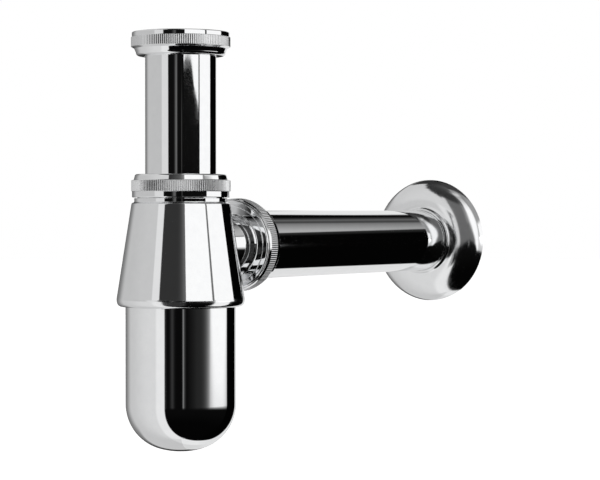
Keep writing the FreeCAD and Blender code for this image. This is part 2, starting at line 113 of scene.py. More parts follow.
def chrome(name, stretch, wave=1.6e-5, gloss=(0.022, 0.05), tone=1.0):
    """Bright plated finish: buffing lines along the piece, a faint ripple and slightly uneven gloss. The knurls can't
    be buffed between their teeth and stay satin. A tone below 1 darkens the colour, which paints shade into the bottoms
    of the knurl grooves."""
    mat, tree, skin = new_material(name)
    at = object_coords(tree)
    ripple = noise(tree, at, 48.0, 2.0)
    haze = noise(tree, at, 260.0, 4.0, 0.55)
    lines = noise(tree, at, 900.0, 3.0, 0.6, stretch)
    skin.inputs["Metallic"].default_value = 1.0
    # tone below 1 darkens the colour: painted shade for the knurl groove finishes
    low, high = (tuple(tone * c for c in colour) for colour in ((0.875, 0.88, 0.888), (0.905, 0.91, 0.915)))
    tree.links.new(ramp(tree, haze, [(0.3, low), (0.7, high)]), skin.inputs["Base Color"])
    tree.links.new(spread(tree, haze, 0.3, 0.75, *gloss), skin.inputs["Roughness"])
    normal = bump(tree, ripple, wave)
    normal = bump(tree, lines, 2.2e-7, normal)
    tree.links.new(normal, skin.inputs["Normal"])
    return mat


def dull_plate():
    """Thin plating inside the nuts and behind the wall flange, matt from the tool."""
    mat, tree, skin = new_material("thin_plate")
    at = object_coords(tree)
    cloud = noise(tree, at, 180.0, 5.0, 0.6)
    grain = noise(tree, at, 2600.0, 3.0, 0.6)
    skin.inputs["Metallic"].default_value = 1.0
    tree.links.new(ramp(tree, cloud, [(0.32, (0.58, 0.56, 0.52)), (0.68, (0.74, 0.73, 0.71))]), skin.inputs["Base Color"])
    tree.links.new(spread(tree, cloud, 0.3, 0.7, 0.2, 0.34), skin.inputs["Roughness"])
    tree.links.new(bump(tree, grain, 4e-6), skin.inputs["Normal"])
    return mat


def bare_brass():
    """Unplated drawn brass on the wet side, with drawing lines and light brown staining."""
    mat, tree, skin = new_material("bare_brass")
    at = object_coords(tree)
    stain = noise(tree, at, 70.0, 5.0, 0.62)
    fine = noise(tree, at, 1500.0, 3.0, 0.6)
    skin.inputs["Metallic"].default_value = 1.0
    tree.links.new(
        ramp(tree, stain, [(0.28, (0.36, 0.225, 0.085)), (0.5, (0.62, 0.43, 0.185)), (0.74, (0.75, 0.56, 0.27))]),
        skin.inputs["Base Color"],
    )
    tree.links.new(spread(tree, stain, 0.28, 0.72, 0.46, 0.26), skin.inputs["Roughness"])
    tree.links.new(bump(tree, fine, 5e-6), skin.inputs["Normal"])
    return mat


def rubber():
    """Moulded black rubber with a fine grain and a slight bloom."""
    mat, tree, skin = new_material("seal_rubber")
    at = object_coords(tree)
    bloom = noise(tree, at, 140.0, 4.0, 0.6)
    grain = noise(tree, at, 2400.0, 4.0, 0.65)
    tree.links.new(ramp(tree, bloom, [(0.3, (0.011, 0.011, 0.012)), (0.75, (0.032, 0.032, 0.034))]), skin.inputs["Base Color"])
    tree.links.new(spread(tree, bloom, 0.3, 0.75, 0.5, 0.72), skin.inputs["Roughness"])
    tree.links.new(bump(tree, grain, 2.5e-5), skin.inputs["Normal"])
    return mat


def slip_plastic():
    """Natural white polyethylene, waxy, with faint flow marks."""
    mat, tree, skin = new_material("slip_plastic")
    at = object_coords(tree)
    flow = noise(tree, at, 110.0, 3.0, 0.5)
    grain = noise(tree, at, 1800.0, 3.0, 0.6)
    tree.links.new(ramp(tree, flow, [(0.3, (0.74, 0.735, 0.70)), (0.7, (0.82, 0.815, 0.79))]), skin.inputs["Base Color"])
    tree.links.new(spread(tree, flow, 0.3, 0.7, 0.34, 0.46), skin.inputs["Roughness"])
    skin.inputs["Subsurface Weight"].default_value = 0.15
    skin.inputs["Subsurface Radius"].default_value = (0.0012, 0.0012, 0.001)
    tree.links.new(bump(tree, grain, 6e-6), skin.inputs["Normal"])
    return mat


CHROME_UP = chrome("chrome_upright", (1.0, 1.0, 0.03))
CHROME_OUT = chrome("chrome_outlet", (1.0, 0.03, 1.0))
CHROME_GRIP = chrome("chrome_grip", (1.0, 1.0, 1.0), gloss=(0.1, 0.16))
CHROME_SATIN = chrome("chrome_satin", (1.0, 1.0, 1.0), gloss=(0.24, 0.36))
# The two groove finishes are darkened chrome: painted shade at the bottoms of the knurl grooves of the outlet and inlet
# nuts.
CHROME_GROOVE_SHADE = chrome("chrome_groove_shade", (1.0, 1.0, 1.0), gloss=(0.2, 0.3), tone=0.4)
CHROME_SHALLOW_GROOVE_SHADE = chrome("chrome_shallow", (1.0, 1.0, 1.0), gloss=(0.12, 0.2), tone=0.68)
CHROME_PRESSED = chrome("chrome_pressed", (1.0, 1.0, 1.0), gloss=(0.09, 0.14))
PLATE = dull_plate()
BRASS = bare_brass()
RUBBER = rubber()
PLASTIC = slip_plastic()


# ------------------------------------------------------------------ turned sections
def section(corners, closed=True):
    """Samples a turned outline, given anticlockwise with the radius first. A corner is (radius, height) or
    (radius, height, options). f rounds it off. For the edge that leaves it, arc is (radius, side), step divides it
    evenly, kind marks a screw thread and tag picks the finish."""
    n = len(corners)
    pos = [np.array(c[:2], float) for c in corners]
    opt = [c[2] if len(c) > 2 else {} for c in corners]
    into, out, turn_points = list(pos), list(pos), [[] for _ in range(n)]
    for i in range(n):
        f = opt[i].get("f", 0.0)
        if not f:
            continue
        u, v = pos[i - 1] - pos[i], pos[(i + 1) % n] - pos[i]
        u, v = u / np.linalg.norm(u), v / np.linalg.norm(v)
        half = math.acos(max(-1.0, min(1.0, float(u @ v)))) / 2
        reach = f / math.tan(half)
        into[i], out[i] = pos[i] + u * reach, pos[i] + v * reach
        centre = pos[i] + (u + v) / np.linalg.norm(u + v) * (f / math.sin(half))
        a, b = into[i] - centre, out[i] - centre
        sweep = math.copysign(math.pi - 2 * half, a[0] * b[1] - a[1] * b[0])
        steps = max(3, math.ceil(abs(sweep) / math.radians(11)))
        for k in range(1, steps):
            t = sweep * k / steps
            turn_points[i].append(
                centre + np.array([a[0] * math.cos(t) - a[1] * math.sin(t), a[0] * math.sin(t) + a[1] * math.cos(t)])
            )
    points, tags, kinds = [], [], []

    def put(p, tag, kind=""):
        points.append(p)
        tags.append(tag)
        kinds.append(kind)

    for i in range(n if closed else n - 1):
        o = opt[i]
        tag, kind = o.get("tag", ""), o.get("kind", "")
        if o.get("f"):
            put(into[i], tag)
            for p in turn_points[i]:
                put(p, tag)
        put(out[i], tag)
        start, end = out[i], into[(i + 1) % n]
        chord = end - start
        length = float(np.linalg.norm(chord))
        if "arc" in o:
            radius, side = o["arc"]
            left = np.array([-chord[1], chord[0]]) / length
            centre = (start + end) / 2 + left * (math.sqrt(max(radius**2 - length**2 / 4, 0.0)) * side)
            a, b = start - centre, end - centre
            sweep = math.atan2(a[0] * b[1] - a[1] * b[0], float(a @ b))
            steps = max(4, math.ceil(abs(sweep) / math.radians(3.0)))
            for k in range(1, steps):
                t = sweep * k / steps
                put(
                    centre + np.array([a[0] * math.cos(t) - a[1] * math.sin(t), a[0] * math.sin(t) + a[1] * math.cos(t)]),
                    tag,
                    kind,
                )
        elif "step" in o:
            steps = max(2, math.ceil(length / o["step"]))
            for k in range(1, steps):
                put(start + chord * (k / steps), tag, kind)
        elif length > 0.7:
            hold = min(0.22, 0.2 * length) / length
            middle = [0.5] if length > 14 else []
            for t in [hold, *middle, 1 - hold]:
                put(start + chord * t, tag, kind)
    if not closed:
        put(pos[-1], opt[-1].get("tag", ""))
    return np.array(points), tags, kinds


def round_angles(count):
    return np.linspace(0.0, TAU, count, endpoint=False)


TEETH = 140
KNURL_ROOT, KNURL_CREST = 21.95, 22.35
TOOTH = np.array([0.0, 0.13, 0.32, 0.5, 0.68, 0.87])
PLAIN = [0, 3]


def knurl_angles():
    """Six facets to each tooth, with an edge at the bottom of every groove."""
    return ((np.arange(TEETH)[:, None] + TOOTH[None, :]) * TAU / TEETH).ravel()


def knurl_cut(radius, crest, angle, depth, curve):
    """Teeth that fall away from each crest to a sharp groove. A curve near 1 gives flat flanks and 2 rounded teeth."""
    pitch = TAU / TEETH
    off = np.abs((angle % pitch) / pitch - 0.5) * 2.0
    return np.minimum(radius, crest - depth * off**curve)


def ridge(height, angle, pitch):
    """Right-hand screw ridge, 0 at the root and 1 at the crest, with short flats."""
    turn = (height / pitch - angle / TAU) % 1.0
    rise = 1.0 - np.abs(2.0 * turn - 1.0)
    return np.clip((rise - 0.14) / 0.72, 0.0, 1.0)


def ease(x, low, high):
    t = np.clip((x - low) / (high - low), 0.0, 1.0)
    return t * t * (3 - 2 * t)


# name: (pitch, radius at the root of a male thread or the crest of a female one, depth, male, low, high), heights along the axis
THREADS = {
    "neck_male": (2.309, 19.55, 1.2, True, -68.35, -61.75),
    "neck_female": (2.309, 19.75, 1.2, False, -67.75, -61.4),
    "outlet_male": (2.309, 19.55, 1.2, True, 40.3, 46.9),
    "outlet_female": (2.309, 19.75, 1.2, False, 40.9, 47.25),
    "inlet_female": (2.309, 19.48, 1.4, None, 0.2, 5.45),
    "cup_male": (2.0, 24.43, 0.72, True, -116.9, -109.2),
    "cup_female": (2.0, 24.68, 0.72, False, -116.9, -109.6),
}


def thread_radius(name, height, angle):
    pitch, base, depth, male, low, high = THREADS[name]
    full = np.minimum(ease(height, low, low + 0.8), 1.0 - ease(height, high - 0.8, high))
    wave = ridge(height, angle, pitch)
    if male is False:
        return base + depth * np.maximum(wave, 1.0 - full)
    return base + depth * wave * full


def turned(name, corners, finishes, angles, base=0.0, outlet=False, closed=True, knurl=None):
    """A turned piece as a mesh. finishes maps each tag to a material, with '' as the main one and groove for the
    bottoms of the grooves, which take a darker chrome as painted shade. knurl is the root radius, the crest's (height,
    radius) at both ends, the depth and the curve of the teeth."""
    points, tags, kinds = section(corners, closed)
    n, m = len(points), len(angles)
    radius = np.repeat(points[:, :1], m, 1)
    height = np.repeat(points[:, 1:], m, 1) + base
    angle = np.repeat(angles[None, :], n, 0)
    used = np.ones((n, m), bool)
    toothed = np.ones(n, bool)
    if knurl:
        root, (low, low_crest), (high, high_crest), depth, curve = knurl
        toothed = points[:, 0] > root + 1e-6
        crest = np.interp(points[:, 1], [low, high], [low_crest, high_crest])[toothed, None]
        radius[toothed] = knurl_cut(radius[toothed], crest, angle[toothed], depth, curve)
        used[~toothed] = np.isin(np.arange(m) % len(TOOTH), PLAIN)
    for kind in sorted(set(kinds) - {""}):
        rows = np.array([k == kind for k in kinds])
        radius[rows] = thread_radius(kind, height[rows], angle[rows])
    if outlet:
        co = np.stack([radius * np.sin(angle), height, radius * np.cos(angle) + OUTLET_Z], -1)
    else:
        co = np.stack([radius * np.cos(angle), radius * np.sin(angle), height], -1)
    index = np.arange(n * m).reshape(n, m)
    if not closed:
        for row in (0, n - 1):
            index[row, :] = index[row, 0]
            used[row, 1:] = False
    keep = used.ravel()
    renumber = np.cumsum(keep) - 1
    co = co.reshape(-1, 3)[keep] * MM
    index = renumber[index]
    order = list(finishes)
    faces, slots = [], []
    for i in range(n if closed else n - 1):
        j = (i + 1) % n
        slot = order.index(tags[i] if tags[i] in finishes else "")
        start = len(faces)
        a, b = index[i], index[j]
        if knurl and not (toothed[i] and toothed[j]):
            columns = np.flatnonzero(np.isin(np.arange(m) % len(TOOTH), PLAIN))
            for k, first in enumerate(columns):
                last = columns[k + 1] if k + 1 < len(columns) else m
                near = [first, last % m] if not toothed[i] else [c % m for c in range(first, last + 1)]
                far = [first, last % m] if not toothed[j] else [c % m for c in range(first, last + 1)]
                faces.append(tuple(int(a[c]) for c in near) + tuple(int(b[c]) for c in reversed(far)))
        else:
            a2, b2 = np.roll(a, -1), np.roll(b, -1)
            if not closed and i == 0:
                faces += [(int(p), int(q), int(r)) for p, q, r in zip(a, b2, b)]
            elif not closed and i == n - 2:
                faces += [(int(p), int(q), int(r)) for p, q, r in zip(a, a2, b)]
            else:
                faces += [(int(p), int(q), int(r), int(t)) for p, q, r, t in zip(a, a2, b2, b)]
        slots += [slot] * (len(faces) - start)
        # the faces on both sides of each groove bottom take the groove finish, a darker chrome that paints shade into
        # the groove
        if knurl and "groove" in finishes and toothed[i] and toothed[j]:
            slots[start:] = [order.index("groove") if k % len(TOOTH) in (0, len(TOOTH) - 1) else slot for k in range(m)]
    mesh = bpy.data.meshes.new(name)
    mesh.from_pydata(co.tolist(), [], faces)
    for tag in order:
        mesh.materials.append(finishes[tag])
    mesh.polygons.foreach_set("material_index", slots)
    mesh.update()
    obj = bpy.data.objects.new(name, mesh)
    bpy.context.scene.collection.objects.link(obj)
    return obj


def smooth(obj, degrees=30.0):
    obj.data.shade_smooth()
    obj.data.set_sharp_from_angle(angle=math.radians(degrees))


def settle(obj, body, node):
    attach(obj, body)
    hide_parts(node)


def combine(first, second, operation):
    """First solid with the second one joined on or cut out."""
    mod = first.modifiers.new("solid", "BOOLEAN")
    mod.operation = operation
    mod.solver = "EXACT"
    mod.object = second
    graph = bpy.context.evaluated_depsgraph_get()
    mesh = bpy.data.meshes.new_from_object(first.evaluated_get(graph))
    first.modifiers.clear()
    old = first.data
    first.data = mesh
    bpy.data.meshes.remove(old)
    spare = second.data
    bpy.data.objects.remove(second)
    bpy.data.meshes.remove(spare)
    return first


# ------------------------------------------------------------------ inlet
UP = {"": CHROME_UP, "in": PLATE, "knurl": CHROME_SATIN}
UP_WET = {"": CHROME_UP, "in": BRASS, "foot": CHROME_GRIP}
OUT = {"": CHROME_OUT, "in": PLATE, "groove": CHROME_GROOVE_SHADE}
OUT_WET = {"": CHROME_OUT, "in": BRASS}

inlet_nut = turned(
    "inlet_nut_chrome",
    [
        (16.3, 0.0, {"f": 0.15}),
        (18.7, 0.0, {"arc": (1.4, 1)}),
        (20.1, 1.4),
        (20.9, 3.3, {"f": 0.5}),
        (KNURL_ROOT, 3.9, {"tag": "knurl"}),
        (KNURL_CREST, 4.15, {"f": 0.1, "tag": "knurl"}),
        (KNURL_CREST, 8.35, {"f": 0.1, "tag": "knurl"}),
        (KNURL_ROOT, 8.6),
        (KNURL_ROOT, 10.2, {"arc": (0.5, 1)}),
        (21.45, 10.7),
        (20.05, 10.7, {"f": 0.1, "tag": "in"}),
        (19.6, 10.25, {"step": 0.26, "kind": "inlet_female", "tag": "in"}),
        (19.48, 4.75, {"tag": "in"}),
        (18.75, 4.75, {"tag": "in"}),
        (18.75, 1.38, {"tag": "in", "f": 0.2}),
        (16.3, 1.38, {"tag": "in", "f": 0.15}),
    ],
    {"": CHROME_UP, "in": PLATE, "knurl": CHROME_GRIP, "groove": CHROME_SHALLOW_GROOVE_SHADE},
    knurl_angles(),
    base=-4.7,
    knurl=(KNURL_ROOT, (4.15, KNURL_CREST), (8.35, KNURL_CREST), 0.15, 1.8),
)
smooth(inlet_nut)
settle(inlet_nut, "inlet_nut", "inlet_nut")

inlet_washer = turned(
    "inlet_washer_rubber",
    [(15.2, 0.0, {"f": 0.25}), (18.4, 0.0, {"f": 0.25}), (18.4, 2.0, {"f": 0.25}), (15.2, 2.0, {"f": 0.25})],
    {"": RUBBER},
    round_angles(160),
    base=-2.0,
)
smooth(inlet_washer)
settle(inlet_washer, "inlet", "inlet_washer")

inlet_pipe = turned(
    "inlet_pipe_chrome",
    [
        (15.25, 0.0),
        (15.75, 0.0),
        (16.0, 0.25, {"f": 0.1}),
        (16.0, 149.7, {"f": 0.25}),
        (18.45, 149.7, {"f": 0.2}),
        (18.45, 151.0, {"f": 0.3}),
        (15.25, 151.0, {"tag": "in"}),
        (15.0, 150.75, {"tag": "in"}),
        (15.0, 0.25, {"tag": "in"}),
    ],
    UP_WET,
    round_angles(256),
    base=-153.0,
)
smooth(inlet_pipe)
settle(inlet_pipe, "inlet", "inlet_pipe")


# ------------------------------------------------------------------ slip joints
def slip_nut(name, node, base, outlet, kind, root, crest, low, high, edge, draft, depth, curve):
    """crest is the radius over the teeth at the band's two ends, and draft the taper of the plain band below it."""
    nut = turned(
        name,
        [
            (20.9, 0.0, {"f": 0.1}),
            (root - draft, 0.0, {"f": edge}),
            (root, low, {"tag": "knurl"}),
            (crest[0], low + 0.25, {"f": 0.1, "tag": "knurl"}),
            (crest[1], high - 0.25, {"f": 0.1, "tag": "knurl"}),
            (root, high, {"f": 0.1}),
            (21.2, high + 0.1, {"f": 0.15}),
            (20.75, 9.6, {"arc": (1.0, 1)}),
            (19.75, 10.45),
            (16.6, 10.45),
            (16.3, 10.15),
            (16.3, 8.65, {"tag": "in", "f": 0.1}),
            (19.95, 8.65, {"tag": "in"}),
            (19.95, 7.4, {"tag": "in"}),
            (20.5, 6.85, {"step": 0.26, "kind": kind, "tag": "in"}),
            (20.85, 0.45, {"tag": "in"}),
        ],
        OUT if outlet else UP,
        knurl_angles(),
        base=base,
        outlet=outlet,
        knurl=(root, (low + 0.25, crest[0]), (high - 0.25, crest[1]), depth, curve),
    )
    smooth(nut)
    settle(nut, node, node)


def slip_ring(name, node, base, outlet):
    ring = turned(
        name,
        [(16.3, 0.02, {"f": 0.15}), (19.7, 0.02, {"f": 0.15}), (19.7, 0.88, {"f": 0.15}), (16.3, 0.88, {"f": 0.15})],
        {"": PLASTIC},
        round_angles(160),
        base=base,
        outlet=outlet,
    )
    smooth(ring)
    settle(ring, node, node)


def cone_seal(name, node, body, base, outlet):
    seal = turned(
        name,
        [
            (16.05, 0.0, {"f": 0.12}),
            (16.9, 0.0, {"f": 0.2}),
            (18.85, 3.7),
            (18.85, 3.75),
            (19.6, 3.75, {"f": 0.12}),
            (19.6, 4.8, {"f": 0.2}),
            (16.05, 4.8, {"f": 0.2}),
        ],
        {"": RUBBER},
        round_angles(160),
        base=base,
        outlet=outlet,
    )
    smooth(seal)
    settle(seal, body, node)


slip_nut(
    "neck_nut_chrome", "neck_nut", -68.25, False, "neck_female",
    KNURL_ROOT, (KNURL_CREST, KNURL_CREST), 2.65, 7.8, 0.3, 0.0, 0.28, 1.4,
)
slip_nut(
    "outlet_nut_chrome", "outlet_nut", 40.4, True, "outlet_female",
    21.45, (21.65, 21.85), 1.45, 6.45, 0.35, 0.15, 0.3, 3.0,
)
slip_ring("neck_slip_ring_plastic", "neck_slip_ring", -60.5, False)
slip_ring("outlet_slip_ring_plastic", "outlet_slip_ring", 48.15, True)
cone_seal("neck_seal_rubber", "neck_seal", "neck_seal", -65.3, False)
cone_seal("outlet_seal_rubber", "outlet_seal", "trap", 43.35, True)

# ------------------------------------------------------------------ body casting
BASE = -117.3
trap_body = turned(
    "trap_body_chrome",
    [
        (0.0, 0.0),
        (26.608, 0.0, {"arc": (2.147, 1), "tag": "foot"}),
        (28.626, 1.413, {"arc": (5.0, 1), "tag": "foot"}),
        (28.867, 3.9),
        (22.2, 46.3, {"f": 0.45}),
        (20.95, 47.0, {"f": 0.25}),
        (20.95, 48.7, {"f": 0.12}),
        (19.55, 48.7),
        (19.55, 48.95, {"step": 0.2, "kind": "neck_male"}),
        (19.55, 55.55),
        (19.55, 55.7),
        (0.0, 55.7),
    ],
    UP_WET,
    round_angles(320),
    base=BASE,
    closed=False,
)
branch = turned(
    "branch",
    [
        (0.0, 10.0),
        (13.3, 10.0),
        (14.4, 38.3, {"arc": (1.0, -1)}),
        (15.4, 39.3),
        (17.9, 39.3, {"arc": (0.36, 1)}),
        (18.5, 39.3),
        (20.25, 39.3, {"arc": (0.65, 1)}),
        (20.9, 39.95),
        (20.9, 40.05),
        (19.55, 40.05),
        (19.55, 40.3, {"step": 0.2, "kind": "outlet_male"}),
        (19.55, 46.9),
        (19.55, 47.05),
        (0.0, 47.05),
    ],
    UP_WET,
    round_angles(256),
    outlet=True,
    closed=False,
)
room = turned(
    "room",
    [
        (0.0, -0.6),
        (26.1, -0.6),
        (25.4, 0.1, {"tag": "in"}),
        (25.4, 0.4, {"step": 0.2, "kind": "cup_female", "tag": "in"}),
        (25.4, 7.7, {"tag": "in"}),
        (25.1, 8.0, {"tag": "in"}),
        (25.1, 9.8, {"tag": "in"}),
        (22.4, 9.8, {"tag": "in"}),
        (22.4, 11.0, {"tag": "in"}),
        (25.4, 14.0, {"tag": "in", "f": 0.8}),
        (20.6, 44.5, {"tag": "in", "f": 0.8}),
        (16.9, 46.6, {"tag": "in"}),
        (16.9, 51.7, {"tag": "in"}),
        (19.525, 56.7),
        (0.0, 56.7),
    ],
    UP_WET,
    round_angles(240),
    base=BASE,
    closed=False,
)
branch_room = turned(
    "branch_room",
    [
        (0.0, 10.0),
        (12.8, 10.0, {"tag": "in"}),
        (12.8, 40.6, {"tag": "in"}),
        (16.4, 40.6, {"tag": "in"}),
        (16.4, 43.05, {"tag": "in"}),
        (16.9, 43.05, {"tag": "in"}),
        (19.525, 48.05),
        (0.0, 48.05),
    ],
    UP_WET,
    round_angles(200),
    outlet=True,
    closed=False,
)
combine(trap_body, branch, "UNION")
combine(trap_body, room, "DIFFERENCE")
combine(trap_body, branch_room, "DIFFERENCE")
smooth(trap_body)
settle(trap_body, "trap", "trap_body")

# ------------------------------------------------------------------ cup
cup_rise = math.sqrt(15.0**2 - 3.93**2)
cup_u, cup_w = 3.93 / 15.0, cup_rise / 15.0
cup = turned(
    "cup_chrome",
    [
        (0.0, 0.0, {"arc": (36.0, 1)}),
        (cup_u * 36.0, 36.0 * (1 - cup_w), {"arc": (21.0, 1)}),
        (24.93, 36.0 - cup_rise),
        (24.93, 65.35, {"f": 0.12}),
        (24.43, 65.6),
        (24.43, 65.9, {"step": 0.2, "kind": "cup_male"}),
        (24.43, 73.3, {"f": 0.1}),
        (24.2, 73.6),
        (23.33, 73.6, {"tag": "in", "f": 0.15}),
        (23.33, 36.0 - cup_rise, {"tag": "in", "arc": (19.4, -1)}),
        (cup_u * 34.4, 36.0 - cup_w * 34.4, {"tag": "in", "arc": (34.4, -1)}),
        (0.0, 1.6),
    ],
    UP_WET,
    round_angles(320),
    base=-182.6,
    closed=False,
)
smooth(cup)
settle(cup, "cup", "cup")

cup_seal = turned(
    "cup_seal_rubber",
    [(22.5, 0.02, {"f": 0.2}), (24.6, 0.02, {"f": 0.2}), (24.6, 1.48, {"f": 0.2}), (22.5, 1.48, {"f": 0.2})],
    {"": RUBBER},
    round_angles(180),
    base=-109.0,
)
smooth(cup_seal)
settle(cup_seal, "cup_seal", "cup_seal")

# ------------------------------------------------------------------ outlet pipe and wall flange
outlet_pipe = turned(
    "outlet_pipe_chrome",
    [
        (15.25, 0.0),
        (15.75, 0.0),
        (16.0, 0.25, {"f": 0.1}),
        (16.0, 190.3),
        (15.8, 190.5),
        (15.8, 190.9),
        (16.0, 191.1),
        (16.0, 212.0, {"f": 0.2}),
        (15.5, 212.5),
        (15.25, 212.5, {"tag": "in"}),
        (15.0, 212.25, {"tag": "in"}),
        (15.0, 0.25, {"tag": "in"}),
    ],
    OUT_WET,
    round_angles(256),
    base=41.0,
    outlet=True,
)
smooth(outlet_pipe)
settle(outlet_pipe, "outlet_pipe", "outlet_pipe")

neck_end = 2.1
crown_z = neck_end + math.sqrt(18.0**2 - 0.7**2)
rim_rise = math.sqrt(8.0**2 - 5.31**2)
rim_u, rim_w = 5.31 / 8.0, rim_rise / 8.0
below = 11.8 - (crown_z - rim_rise)
back = crown_z - math.sqrt(17.0**2 - 0.7**2)
wall_flange = turned(
    "wall_flange_chrome",
    [
        (16.06, 0.0, {"f": 0.1}),
        (16.9, 0.0, {"arc": (0.3, 1)}),
        (17.2, 0.3),
        (17.2, 1.3, {"arc": (0.8, -1)}),
        (18.0, neck_end, {"arc": (18.0, 1)}),
        (17.3 + rim_u * 18.0, crown_z - rim_w * 18.0, {"arc": (10.0, 1)}),
        (22.61 + math.sqrt(10.0**2 - below**2), 11.8, {"tag": "in"}),
        (22.61 + math.sqrt(9.0**2 - below**2), 11.8, {"tag": "in", "arc": (9.0, -1)}),
        (17.3 + rim_u * 17.0, crown_z - rim_w * 17.0, {"tag": "in", "arc": (17.0, -1)}),
        (18.0, back, {"tag": "in"}),
        (16.06, back, {"tag": "in", "f": 0.15}),
    ],
    {"": CHROME_PRESSED, "in": PLATE},
    round_angles(320),
    base=216.7,
    outlet=True,
)
smooth(wall_flange)
settle(wall_flange, "wall_flange", "wall_flange")

# ------------------------------------------------------------------ camera
AZIMUTH = math.radians(32.7)
TO_CAMERA = np.array([math.sin(AZIMUTH), -math.cos(AZIMUTH), 0.0])
TO_RIGHT = np.array([math.cos(AZIMUTH), math.sin(AZIMUTH), 0.0])
FOCAL_PX, DISTANCE, AXIS_PX, HORIZON_PX, EYE = 2200.0, 0.9912, 180.9, 208.0, -0.0730
side = (300.0 - AXIS_PX) / FOCAL_PX * DISTANCE
eye = TO_CAMERA * DISTANCE + TO_RIGHT * side
camera = bpy.data.objects.new("camera", bpy.data.cameras.new("camera"))
bpy.context.scene.collection.objects.link(camera)
camera.data.sensor_fit = "HORIZONTAL"
camera.data.sensor_width = 36.0
camera.data.lens = FOCAL_PX / 600.0 * 36.0
camera.data.clip_start, camera.data.clip_end = 0.05, 40.0
camera.location = (float(eye[0]), float(eye[1]), EYE)
dip = math.atan((240.0 - HORIZON_PX) / FOCAL_PX)
look = Vector((-TO_CAMERA[0] * math.cos(dip), -TO_CAMERA[1] * math.cos(dip), -math.sin(dip)))
camera.rotation_mode = "QUATERNION"
camera.rotation_quaternion = look.to_track_quat("-Z", "Y")
bpy.context.scene.camera = camera


# ------------------------------------------------------------------ studio
def band(x, low, high, soft):
    return ease(x, low - soft, low + soft) * (1.0 - ease(x, high - soft, high + soft))


def room_shade(az, el):
    """Screen value, 0 to 255, of the room round the object. az is 0 towards the camera and positive to its right, and el
    is above level."""
    # dark room behind the camera: black below, dim above, with lamp stands that show as streaks
    shade = 4.0 + 5.0 * ease(el, -45.0, -12.0) + 5.0 * ease(el, 0.0, 2.0) + 34.0 * ease(el, 5.0, 9.0)
    shade = shade + 30.0 * ease(el, 60.0, 90.0)
    for at, half, low, high, peak in (
        (-13.0, 4.0, -0.5, 5.0, 78.0),
        (-10.0, 1.5, -0.5, 5.6, 40.0),
        (5.6, 1.3, -0.5, 3.4, 50.0),
        (-31.0, 3.4, -8.0, -1.0, 46.0),
        (-15.0, 4.4, -8.0, -1.0, 40.0),
        (7.4, 1.6, -8.0, -1.0, 100.0),
        (10.0, 2.6, -8.0, -1.0, 40.0),
    ):
        fade_in = 0.7 if low > -5.0 else 3.0
        height = ease(el, low - fade_in, low + fade_in) * (1.0 - ease(el, high - 0.7, high + 0.7))
        shade = shade + peak * np.exp(-(((az - at) / half) ** 2)) * height
    # glow beside the lamps
    shade = shade + 60.0 * ease(az, -9.0, 14.0) ** 2 * ease(el, 9.0, 13.0) + 30.0 * ease(az, -30.0, 0.0) * band(el, 23.0, 52.0, 4.0)
    beside = 150.0 * np.clip((az - 34.0) / 32.0, 0.0, 1.0) ** 3.2 + 27.0 * np.clip((az - 14.0) / 22.0, 0.0, 1.0)
    shade = shade + beside * ease(el, -12.0, -5.0) * (1.0 - ease(el, -2.0, 0.5))
    shade = shade + (150.0 - shade) * band(az, 66.0, 115.0, 2.0) * ease(el, 25.0, 28.0) * (1.0 - 0.6 * ease(el, 55.0, 70.0))
    shade = shade + 100.0 * band(az, -15.0, 80.0, 25.0) * band(el, 70.0, 78.0, 6.0)
    # right: a dark gap, a grey screen above it, and the pale sweep again behind
    right = ease(az, 112.5, 114.5)
    screen = np.interp(az, [116, 123, 137, 141, 147, 153, 158], [175, 168, 116, 60, 95, 42, 3])
    gap = 3.0 + (screen - 3.0) * (0.22 * ease(el, 14.0, 19.0) + 0.78 * ease(el, 19.6, 21.2))
    shade = shade + (gap + (60.0 - gap) * ease(el, 40.0, 55.0) - shade) * right
    behind = ease(az, 159.0, 165.0) * (1.0 - ease(el, 26.5, 28.5))
    shade = shade + (224.0 - shade) * behind
    # left: the pale sweep, a little brighter along its front edge
    front = np.interp(el, [0, 8, 16, 24, 38, 49, 58, 60, 62], [-37.5, -39, -36, -28, -31, -50, -80, -100, -185])
    side = ease(az, -128.0, -62.0)
    tone = 192.0 + 19.0 * side + (187.0 - 192.0 - 19.0 * side) * ease(el, -3.0, 0.0) + (8.0 * side - 1.0) * ease(el, 7.0, 11.0)
    tone = tone + 12.0 * ease(el, 20.0, 30.0)
    tone = tone - (66.0 * ease(-az, 122.0, 152.0) + 80.0 * ease(-az, 152.0, 178.0)) * band(el, -32.0, 24.0, 4.0)
    edge = ease(az, -52.0 - 10.0 * band(el, -1.0, 9.0, 1.0), -50.0 - 10.0 * band(el, -1.0, 9.0, 1.0))
    upper = tone + 26.0 * edge * (1.0 - ease(el, 22.0, 28.0))
    top = np.interp(az, [-180, -165, -150, -138], [26, 29, 44, 64])
    above = shade + (upper - shade) * (1.0 - ease(az, front - 0.9, front + 0.9)) * (1.0 - ease(el, top - 1.0, top + 1.0))
    # below level the dark of the room is a rounded patch, seen by where a mirror would have to face to show it
    a, e = np.radians(az), np.radians(el)
    ahead, across, up = np.cos(e) * np.cos(a) + 1.0001, np.cos(e) * np.sin(a), np.sin(e)
    face_az, face_el = np.degrees(np.arctan2(across, ahead)), np.degrees(np.arctan2(up, np.hypot(ahead, across)))
    depth = 49.0 + 3.0 * ease(face_az, 0.0, 55.0)
    patch = (np.abs(face_az - 30.5) / 46.0) ** 2.6 + (np.clip(-face_el, 0.0, None) / depth) ** 2.6
    lower = tone + 17.0 * (1.0 - ease(patch, 1.5, 1.75))
    lower = lower + (219.0 - lower) * ease(face_az, 20.0, 50.0)
    below = shade + (lower - shade) * ease(patch, 0.97, 1.03)
    return above + (below - above) * (1.0 - ease(el, -2.4, -0.6))


def light_of(shade):
    value = np.clip(shade, 0.0, 255.0) / 255.0
    return np.where(value <= 0.04045, value / 12.92, ((value + 0.055) / 1.055) ** 2.4) / 0.885


